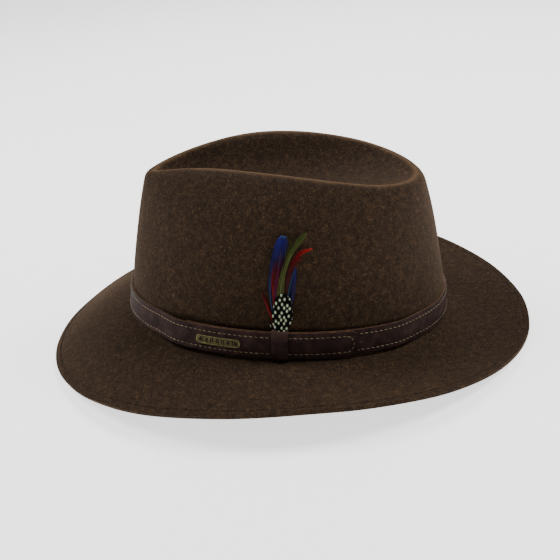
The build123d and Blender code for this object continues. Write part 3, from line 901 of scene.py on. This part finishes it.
# The tall blue goose feather behind all the others, with a paler edge and middle.
blue = start_feather()
blue_route = [(-1.2, 21, 2), (-3.1, 32, 5.2), (-3.7, 43, 7.6), (-2.4, 54, 8.2), (-0.8, 62, 8.2),
              (0.3, 67.2, 7.0), (0.9, 70.6, 3.0)]
add_vane(blue, blue_route, 2.1, 120, 0.2, 0.1, bare=0.12)
add_quill(blue, blue_route, 2.1, 0.5)
pale_route = [(-3.0, 21, 0.6), (-5.4, 33, 0.8), (-6.1, 41, 0.8), (-5.9, 50, 0.6)]
add_hackle(blue, pale_route, 2.9, 3, 0.5, (0.85, 1.0))
for middle_route in ([(-2.0, 21, 0.4), (-3.4, 38, 1.0), (-2.6, 50, 1.4), (-0.6, 65, 1.6)],
                     [(-1.6, 21, 0.4), (-2.6, 40, 1.0), (-1.2, 53, 1.0), (0.6, 66, 0.8)]):
    add_hackle(blue, middle_route, 3.5, 1, 0.9, (0.6, 1.0), width=0.26)
finish_feather(blue, "feather_blue_goose", blue_dye, "blue_feather", "blue_feather")

# A short blue one beside it.
blue_side = start_feather()
side_route = [(2.2, 21, 1.2), (5.7, 34, 3.4), (6.9, 44, 3.2), (7.6, 50, 2.2), (7.9, 54, 0.8)]
add_vane(blue_side, side_route, 1.5, 70, 0.25, 0.12, bare=0.1, tint=(0.2, 0.7))
add_quill(blue_side, side_route, 1.5, 0.4)
line_route = [(2.2, 21, 0.5), (4.4, 38, 0.6), (6.2, 47, 0.6), (8.8, 54.5, 0.6)]
add_hackle(blue_side, line_route, 2.2, 3, 0.6, (0.85, 1.0), width=0.3)
finish_feather(blue_side, "feather_blue_side", blue_dye, "blue_feather", "blue_side_feather")

# The red hackle that sweeps out to the back, and its loose fibres over the blue feather.
red_up = start_feather()
up_route = [(1.0, 21, 1.4), (2.9, 38, 2.6), (3.6, 47, 2.8), (5.4, 53.5, 3.0), (8.2, 59, 3.0),
            (12.0, 62.6, 2.4), (17.8, 64.4, 0.8)]
add_hackle(red_up, up_route, 3.3, 40, 0.6, (0.15, 1.0))
front_fibres = [(-2.4, 21, 1.6), (-3.6, 36, 2.2), (-4.2, 44, 2.6), (-4.0, 51, 2.6), (-3.2, 58, 2.0)]
middle_fibres = [(-1.2, 21, 1.6), (-2.4, 38, 3.2), (-2.0, 48, 4.4), (-0.8, 56, 5.2), (0.4, 64, 4.4)]
back_fibres = [(0.2, 21, 1.6), (-0.2, 42, 2.6), (0.6, 52, 2.6), (2.0, 60, 2.2)]
for middle_route, tint in ((front_fibres, (0.6, 0.2)), (middle_fibres, (0.62, 0.3)),
                           (back_fibres, (0.45, 0.3))):
    add_hackle(red_up, middle_route, 3.2, 20, 0.7, tint, stop_at=0.6)
finish_feather(red_up, "feather_red_hackle_upper", red_dye, "red_feather", "red_hackle_upper")

# The lower red hackle, and the short one that leans out to the front.
red_low = start_feather()
low_route = [(1.2, 21, 1.4), (3.4, 42, 2.2), (5.2, 50.5, 2.4), (8.4, 56.6, 2.2), (13.6, 59.4, 1.0)]
add_hackle(red_low, low_route, 2.7, 14, 0.9, (0.2, 0.62))
finish_feather(red_low, "feather_red_hackle_lower", red_dye, "red_feather", "red_hackle_lower")

red_left = start_feather()
left_route = [(-4.6, 21.5, 1.4), (-6.6, 27.5, 2.0), (-9.0, 34, 1.6), (-11.0, 39.6, 0.8)]
add_hackle(red_left, left_route, 0.9, 14, 0.8, (0.6, 0.4), width=0.34)
finish_feather(red_left, "feather_red_hackle_left", red_dye, "red_feather", "red_hackle_left")

# The olive hackle over the red ones, with a loose fringe along its front.
olive = start_feather()
olive_route = [(-0.6, 21, 2), (-0.4, 34, 4.4), (-0.1, 40, 4.2), (0.6, 47, 3.4), (2.0, 53.5, 2.6),
               (4.6, 60.2, 2.2), (7.2, 65, 2.8), (10.4, 68.9, 3.4), (14.0, 72.6, 0.8)]
add_vane(olive, olive_route, 3.9, 130, 0.2, 0.2, bare=0.06, tint=(0.35, 0.8))
fringe_route = [(1.6, 54, 1.2), (3.2, 61, 3.0), (4.6, 67, 4.6), (6.0, 71.6, 4.2)]
add_hackle(olive, fringe_route, 3.7, 14, 1.0, (0.2, 0.1), width=0.3)
add_quill(olive, olive_route, 3.9, 0.4, tone=0.95)
finish_feather(olive, "feather_olive", olive_dye, "olive_feather", "olive_feather")

# Guinea fowl: nearly black, with rows of pale oval spots that run across the barbs.
guinea_plume, guinea_shader = start_material("guinea fowl plumage")
flat_map = add_node(guinea_plume, "ShaderNodeUVMap", {}, uv_map="flat")
spot_map = add_node(guinea_plume, "ShaderNodeMapping",
                    {"Vector": flat_map.outputs["UV"], "Rotation": (0, 0, pi / 4), "Scale": (4.4, 2.9, 1)})
spots = add_node(guinea_plume, "ShaderNodeTexVoronoi",
                 {"Vector": spot_map.outputs["Vector"], "Scale": 1.0, "Randomness": 0.5},
                 voronoi_dimensions="2D")
spot_colour = add_node(guinea_plume, "ShaderNodeValToRGB", {"Fac": spots.outputs["Distance"]})
colour_steps(spot_colour, (0.0, "#c4d0b0"), (0.24, "#98a486"), (0.33, "#0a0908"), (1.0, "#060505"))
guinea_plume.node_tree.links.new(spot_colour.outputs["Color"], guinea_shader.inputs["Base Color"])
guinea_shader.inputs["Roughness"].default_value = 0.7
guinea_shader.inputs["Specular IOR Level"].default_value = 0.04

guinea = start_feather()
guinea_route = [(0.4, 16.2, 8.0), (0.9, 21, 10.4), (1.3, 27.5, 12.0), (1.4, 32, 10.6),
                (1.5, 36.4, 8.8), (1.5, 39.4, 3.0)]
for layer in (4.5, 4.75):
    add_vane(guinea, guinea_route, layer, 100, 0.24, 0.06, crown=1.0)
add_quill(guinea, guinea_route, 4.6, 0.4, crown=0.9)
for loose_route in ([(-3.6, 17, 0.5), (-5.2, 19.4, 0.6), (-6.8, 23, 0.5)],
                    [(3.8, 18, 0.5), (5.8, 21.5, 0.6), (7.0, 25, 0.5)]):
    add_hackle(guinea, loose_route, 4.5, 3, 0.5, (0, 0), width=0.34)
finish_feather(guinea, "feather_guinea", guinea_plume, "guinea", "guinea_feather")

# Dark waxed thread wound round the quills, in turns of 1.2 mm so that they show.
waxed, waxed_shader = start_material("waxed binding thread")
wrap_size = 0.0012
waxed_where = add_node(waxed, "ShaderNodeTexCoord", {}).outputs["Object"]
wraps = add_node(waxed, "ShaderNodeTexWave",
                 {"Vector": waxed_where, "Scale": 1 / wrap_size, "Distortion": 0.6},
                 bands_direction="Z")
waxed_colour = add_node(waxed, "ShaderNodeValToRGB", {"Fac": wraps.outputs["Fac"]})
colour_steps(waxed_colour, (0.2, "#15100c"), (0.8, "#30241a"))
waxed_bump = add_node(waxed, "ShaderNodeBump", {"Height": wraps.outputs["Fac"], "Strength": 0.7,
                                                "Distance": 0.0002})
waxed.node_tree.links.new(waxed_colour.outputs["Color"], waxed_shader.inputs["Base Color"])
waxed.node_tree.links.new(waxed_bump.outputs["Normal"], waxed_shader.inputs["Normal"])
waxed_shader.inputs["Roughness"].default_value = 0.6
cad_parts["quill_binding"].data.materials.clear()
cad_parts["quill_binding"].data.materials.append(waxed)

# ---- sweatband --------------------------------------------------------------------------------
# A strip of tan roan leather inside the head opening, sewn by its lower edge to a reed in a
# cloth tape, which is sewn to the felt in turn. A small ribbon bow marks the back.
sweat_face, sweat_foot, sweat_height, sweat_leather = -3.5, 0.5, 34.0, 1.0
sweat_rows, slack_size, slack_depth = 34, 14, 0.35
reed_radius, reed_gap = 0.9, 0.1
tape_high, tape_thick, tape_gap, tape_rows = 8.0, 0.3, 0.15, 8
round_columns = 240


def inner_band(angle, up):
    """The leather's face: it waves a little and its top edge leans off the felt."""
    slack = handled((60 * cos(radians(angle)), 60 * sin(radians(angle)), up), slack_size, slack_depth)
    return at_band(angle, sweat_face - sweat_leather + slack * ease(up / 12), up)


def sweat_point(share, row):
    return inner_band(360 * share, sweat_foot + sweat_height * row / sweat_rows)


sweatband = block_grid("sweatband_leather", round_columns, sweat_rows, sweat_point)
inward = stand(at_band(90, -8, 15)) - stand(at_band(90, -5, 15))
face_outwards(sweatband, stand(at_band(90, -5, 15)), inward)
thicken(sweatband, sweat_leather - 0.1)
round_edges(sweatband, 0.2, 55)
# Warm tan leather, darker where a head has worn it, with a fine grain.
tan_roan = mottled("tan roan leather", 0.02, (0.3, "#5a3a22"), (0.55, "#80552f"),
                   (0.75, "#97683c"), roughness=0.5)
tan_where = add_node(tan_roan, "ShaderNodeTexCoord", {}).outputs["Object"]
tan_grain = add_node(tan_roan, "ShaderNodeTexVoronoi", {"Vector": tan_where, "Scale": 1 / 0.0008})
tan_bump = add_node(tan_roan, "ShaderNodeBump", {"Height": tan_grain.outputs["Distance"], "Strength": 0.4,
                                                 "Distance": 0.00012})
tan_roan.node_tree.links.new(tan_bump.outputs["Normal"],
                             tan_roan.node_tree.nodes["Principled BSDF"].inputs["Normal"])
finish_piece(sweatband, tan_roan, "hat", "sweat_leather", "sweatband")


def all_outwards(piece):
    """Turns every face of a closed skin outwards."""
    skin = bmesh.new()
    skin.from_mesh(piece.data)
    bmesh.ops.recalc_face_normals(skin, faces=skin.faces)
    skin.to_mesh(piece.data)
    skin.free()


def tube(name, radius, centre, sides=10):
    """A round cord once round the hat; centre(angle, out, up) gives the points of its section."""
    def place(share, row):
        turn = 2 * pi * row / sides
        return centre(360 * share, radius * cos(turn), radius * sin(turn))

    piece = block_grid(name, round_columns, sides, place)
    all_outwards(piece)
    return piece


def reed_place(angle, out, up):
    return at_band(angle, sweat_face - sweat_leather / 2 + out, sweat_foot - reed_radius - reed_gap + up)


# Drawn plastic, grey and a little glossy.
reed_plastic = mottled("grey reed plastic", 0.01, (0.3, "#5c5a56"), (0.7, "#6e6b66"), roughness=0.4)
reed = tube("sweatband_reed_cord", reed_radius, reed_place)
finish_piece(reed, reed_plastic, "hat", "reed_plastic", "sweatband_reed")

def tape_point(share, row):
    return at_band(360 * share, sweat_face + tape_gap, sweat_foot + tape_high * row / tape_rows)


# Brown cotton tape with a plain close weave.
tape_cotton = mottled("brown cotton tape", 0.0006, (0.4, "#2a1e15"), (0.6, "#44321f"), roughness=0.9)
tape = block_grid("reed_tape_cotton", round_columns, tape_rows, tape_point)
face_outwards(tape, stand(at_band(90, -3, 4)), -inward)
thicken(tape, tape_thick, offset=1)
finish_piece(tape, tape_cotton, "hat", "reed_tape", "reed_tape")


sweat_row_up, sweat_row_lift, sweat_slant = 2.5, 0.12, 0.3
sweat_stitch_pitch, sweat_stitch_length, sweat_stitch_radius = 3.6, 2.6, 0.25


def sweat_row(angle):
    """The line of the stitches that hold the leather to its reed and tape."""
    return inner_band(angle, sweat_foot + sweat_row_up) - out_at(angle) * sweat_row_lift


sweat_turns = even_turns(sweat_row, sweat_stitch_pitch, 0, 359.4)
sweat_stitches = stitch_row(
    "sweatband_stitches", stitch_mesh(sweat_stitch_length, sweat_stitch_radius),
    slanted_places(sweat_row, sweat_turns, lambda angle: -out_at(angle), sweat_slant))
finish_piece(sweat_stitches, khaki, "hat", "band_thread", "sweatband_thread")

# ---- bow --------------------------------------------------------------------------------------
# A flat bow of narrow brown ribbon at the back of the sweatband, caught down by its knot.
bow_up, bow_offset, bow_reach, bow_thick = 8.0, -5.05, 12.0, 1.5
bow_turn, knot_turn = 65 / half_length, 57.3 / half_length      # degrees for each millimetre
bow_columns, bow_sides, knot_columns, knot_rows = 44, 20, 24, 12
knot_half_width, knot_half_height, knot_half_thick = 1.3, 2.1, 1.05
# Silky ribbon with fine ribs across it, drawn at 2.5 mm so that they show.
rib_size = 0.0025
grosgrain = mottled("brown grosgrain ribbon", 0.0008, (0.4, "#251910"), (0.65, "#3f2c1d"),
                    roughness=0.55)
bow_place = add_node(grosgrain, "ShaderNodeTexCoord", {}).outputs["Object"]
ribs = add_node(grosgrain, "ShaderNodeTexWave", {"Vector": bow_place, "Scale": 1 / rib_size},
                bands_direction="X")
rib_bump = add_node(grosgrain, "ShaderNodeBump", {"Height": ribs.outputs["Fac"], "Strength": 0.6,
                                                  "Distance": 0.00015})
grosgrain.node_tree.links.new(rib_bump.outputs["Normal"],
                              grosgrain.node_tree.nodes["Principled BSDF"].inputs["Normal"])


def bow_point(share, row):
    """One closed skin from tip to tip, pinched at the knot, with creases that run out from it."""
    reach = (2 * share - 1) * bow_reach
    q = abs(reach) / bow_reach
    half = 1.3 + 3.0 * ease(q * 1.25) - 1.4 * ease((q - 0.8) / 0.2)
    puff = bow_thick / 2 * (0.55 + 0.45 * sin(pi * min(q * 1.05, 1)))
    if share in (0, 1):
        half, puff = half * 0.9, 0.15
    turn = 2 * pi * row / bow_sides
    up = half * cos(turn)
    crease = 0.14 * cos(5 * turn) * (1 - q)
    out = (puff + crease) * sin(turn)
    return at_band(reach * bow_turn, bow_offset - bow_thick / 2 + out, bow_up + up)


def knot_point(share, row):
    """The ribbon wrapped round the bow's middle: a squarish bead."""
    swing, turn = 2 * pi * share, pi * row / knot_rows
    girth = sin(turn) ** 0.6
    across, up = knot_half_width * cos(swing) * girth, knot_half_height * cos(turn)
    out = knot_half_thick * sin(swing) * girth
    return at_band(across * knot_turn, bow_offset - bow_thick / 2 - 0.1 + out, bow_up + up)


bow = block_grid("sweatband_ribbon_bow", bow_columns, bow_sides, bow_point)
knot = block_grid("sweatband_bow_knot", knot_columns, knot_rows, knot_point)
for piece in (bow, knot):
    all_outwards(piece)
    finish_piece(piece, grosgrain, "hat", "bow_ribbon", "sweatband_bow")

# ---- satin lining -----------------------------------------------------------------------------
# A gathered side band and an oval tip of brown satin, joined by piping, tacked inside the crown.
lining_foot, lining_top, lining_depth = 0.30, 0.72, 2.95
gathers, gather_depth, puckers, pucker_depth = 120, 0.5, 70, 0.22
piping_radius, piping_depth, piping_rise = 0.7, 3.7, 1.0
tip_depth, tip_rise, tip_drop = 4.2, 2.4, 6.4
satin_cloth, weave_size = 0.12, 0.0005
side_columns, side_rows, tip_columns, tip_rows = 1200, 20, 420, 40
# Brown satin: smooth, with a soft shine along its folds.
satin = mottled("brown lining satin", 0.015, (0.3, "#3a2616"), (0.7, "#523722"), roughness=0.35)
satin_shader = satin.node_tree.nodes["Principled BSDF"]
satin_shader.inputs["Specular IOR Level"].default_value = 0.6
satin_shader.inputs["Sheen Weight"].default_value = 0.2
satin_where = add_node(satin, "ShaderNodeTexCoord", {}).outputs["Object"]
satin_weave = add_node(satin, "ShaderNodeTexNoise", {"Vector": satin_where, "Scale": 1 / weave_size})
satin_bump = add_node(satin, "ShaderNodeBump", {"Height": satin_weave.outputs["Fac"], "Strength": 0.15,
                                                "Distance": 0.0001})
satin.node_tree.links.new(satin_bump.outputs["Normal"], satin_shader.inputs["Normal"])


def inside_wall(angle, t, depth):
    """A point inside the crown, at a share of its height and a depth from its outside."""
    point = wall(angle, t)
    out = Vector((point.x / half_width**2, point.y / half_length**2, 0)).normalized()
    return point - out * (depth + 1.5 * t**3)


def side_point(share, row):
    """The side band, whose uneven gathers deepen towards the seam with the tip."""
    t = lining_foot + (lining_top - lining_foot) * row / side_rows
    swing = radians(360 * share)
    phase = swing * gathers + 1.5 * noise.noise((3 * cos(swing), 3 * sin(swing), t))
    folds = gather_depth * cos(phase) * (0.15 + 0.85 * row / side_rows)
    return inside_wall(360 * share, t, lining_depth + folds)


side = block_grid("lining_side_satin", side_columns, side_rows, side_point)
face_outwards(side, stand(inside_wall(90, 0.5, 3)), inward)
thicken(side, satin_cloth)
finish_piece(side, satin, "hat", "lining_satin", "lining_side")


def piping_place(angle, out, up):
    return inside_wall(angle, lining_top, piping_depth - out) + Vector((0, 0, piping_rise + up))


piping = tube("lining_piping_cord", piping_radius, piping_place)
finish_piece(piping, satin, "hat", "lining_satin", "lining_piping")
tip_middle = dent_centre - Vector((0, 0, tip_drop))


def tip_at(share, row):
    """The oval tip, drawn up from its middle to the piping and puckered along its seam."""
    angle, r = 360 * share, max(row / tip_rows, 0.0001)
    rim = inside_wall(angle, lining_top, tip_depth) + Vector((0, 0, tip_rise))
    pucker = pucker_depth * r**8 * cos(radians(angle) * puckers)
    flat = tip_middle.xy + (rim.xy - tip_middle.xy) * r
    return Vector((*flat, tip_middle.z + (rim.z - tip_middle.z) * r**1.6 + pucker))


tip = block_grid("lining_tip_satin", tip_columns, tip_rows, tip_at)
face_outwards(tip, stand(tip_middle), Vector((0, 0, -1)))
thicken(tip, satin_cloth)
finish_piece(tip, satin, "hat", "lining_satin", "lining_tip")

# ---- floor, light and camera ------------------------------------------------------------------
# A lit opal table in a white tent: soft lights from both sides, above and behind, and little
# from the camera's side.
bpy.ops.mesh.primitive_plane_add(size=12)
floor = bpy.context.object
floor.name = "floor"
# Opal acrylic lit from below: an even white that lifts the shadow under the hat.
opal = mottled("lit opal acrylic", 0.5, (0.3, "#f4f4f2"), (0.7, "#f7f7f5"), roughness=0.9)
opal_shader = opal.node_tree.nodes["Principled BSDF"]
opal_shader.inputs["Emission Color"].default_value = (1, 1, 1, 1)
opal_shader.inputs["Emission Strength"].default_value = 1.5
floor.data.materials.append(opal)

world = bpy.data.worlds.new("tent")
bpy.context.scene.world = world
world.use_nodes = True
tent_light = world.node_tree.nodes["Background"]
tent_light.inputs["Color"].default_value = (1, 1, 1, 1)
tent_light.inputs["Strength"].default_value = 0.18


def soft_light(name, place, size, watts):
    """A round diffuser that faces the middle of the hat."""
    data = bpy.data.lights.new(name, "AREA")
    data.shape, data.size, data.energy = "DISK", size, watts
    lamp = bpy.data.objects.new(name, data)
    bpy.context.collection.objects.link(lamp)
    lamp.location = place
    lamp.rotation_euler = (hat_middle - Vector(place)).to_track_quat("-Z", "Y").to_euler()


hat_middle = Vector((0, 0, 0.06))
soft_light("front side", (-0.2, -0.9, 1.1), 0.7, 15)
soft_light("back side", (-0.2, 0.9, 1.1), 0.7, 17)
soft_light("far side", (-1.0, 0, 0.9), 0.8, 6)

# The camera looks at the wearer's left side, from a little above and a touch behind.
view_distance, view_height, view_turn, view_lens = 660.0, 25.611, -4.325, 63.95
view_target = Vector((0, -5.385, 7.8))
away = Vector((cos(radians(view_height)) * cos(radians(view_turn)),
               -cos(radians(view_height)) * sin(radians(view_turn)), sin(radians(view_height))))
right = away.cross(Vector((0, 0, 1))).normalized() * -1
upward = away.cross(right)
camera_data = bpy.data.cameras.new("camera")
camera_data.lens, camera_data.sensor_width = view_lens, 36.0
camera_data.clip_start = 0.01
camera = bpy.data.objects.new("camera", camera_data)
bpy.context.collection.objects.link(camera)
turn = standing.to_3x3() @ Matrix((right, upward, away)).transposed()
camera.matrix_world = Matrix.Translation(stand(view_target + away * view_distance)) @ turn.to_4x4()
bpy.context.scene.camera = camera
